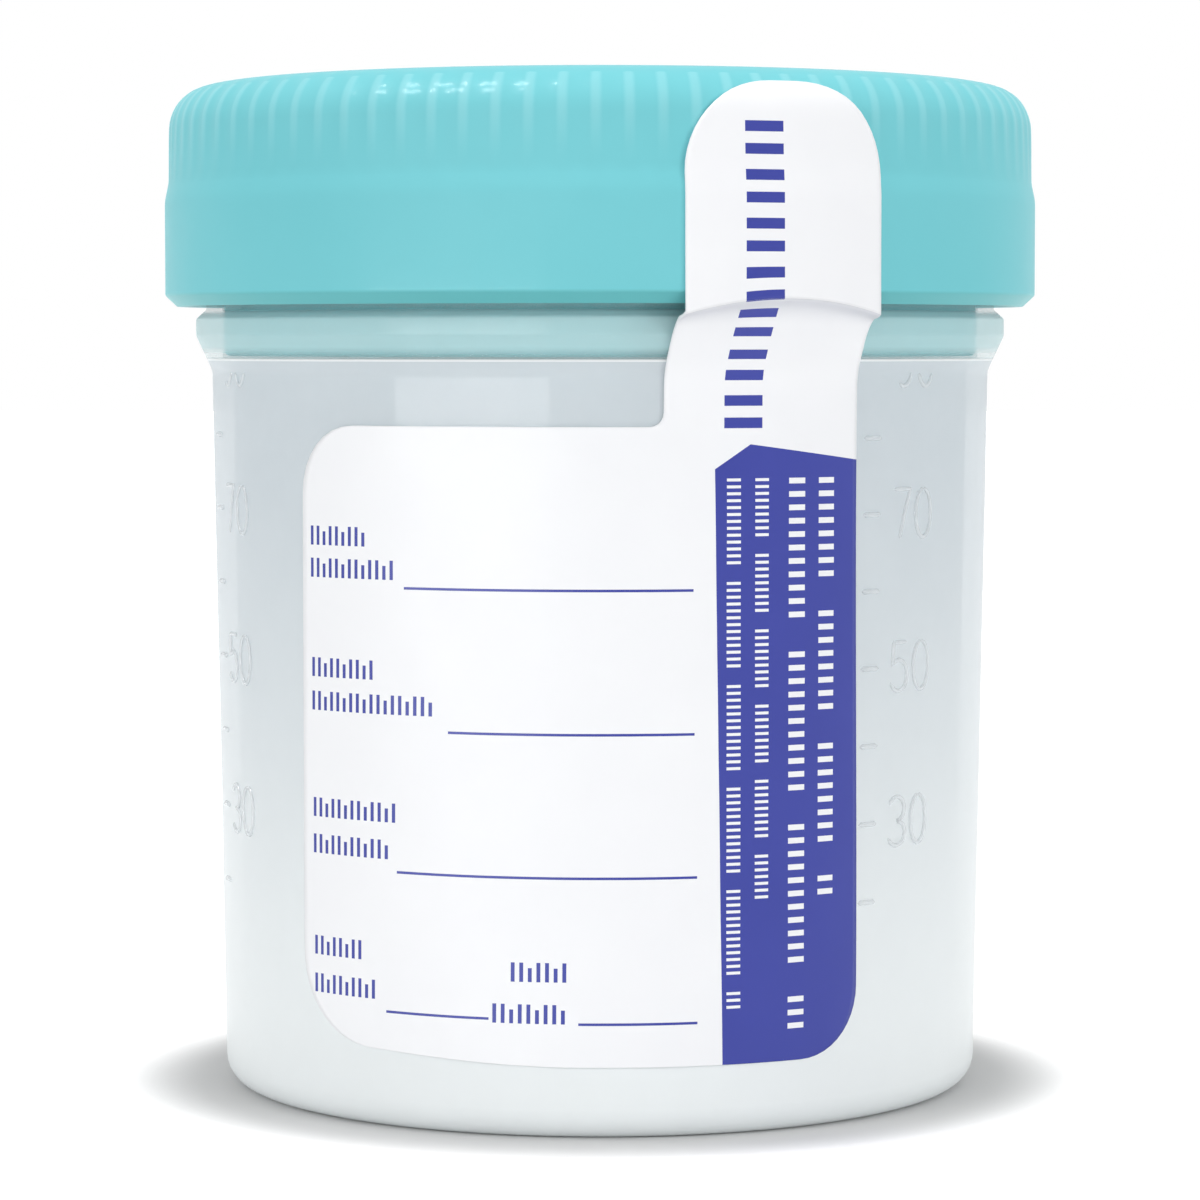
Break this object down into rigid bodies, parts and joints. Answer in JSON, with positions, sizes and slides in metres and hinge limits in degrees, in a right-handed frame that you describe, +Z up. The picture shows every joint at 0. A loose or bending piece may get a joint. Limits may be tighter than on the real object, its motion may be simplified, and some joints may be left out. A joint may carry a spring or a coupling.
{
  "type": "specimen container",
  "caption": "Round translucent plastic cup with raised volume marks, a ribbed screw cap with an inner plug, and a label whose tab seals the cap.",
  "frame": {"origin": "middle of the foot, on the surface that the container stands on", "axes": "+Z up along the container's axis; the label faces -Y, and its seal tab lies towards +X"},
  "size_m": [0.06, 0.06, 0.0686],
  "materials": {
    "cup_plastic": "natural translucent moulded plastic, satin",
    "cap_plastic": "opaque aqua moulded plastic, soft gloss",
    "label_film": "white label stock with blue print, satin"
  },
  "bodies": {
    "container": {"cup": "cup_plastic", "patient_label": "label_film"},
    "cap": {"screw_cap": "cap_plastic", "seal_tab": "label_film"}
  },
  "joints": [
    {"name": "cap_lift", "type": "slide", "parent": "container", "child": "cap", "axis": [0, 0, 1], "range_m": [0, 0.03]}
  ]
}
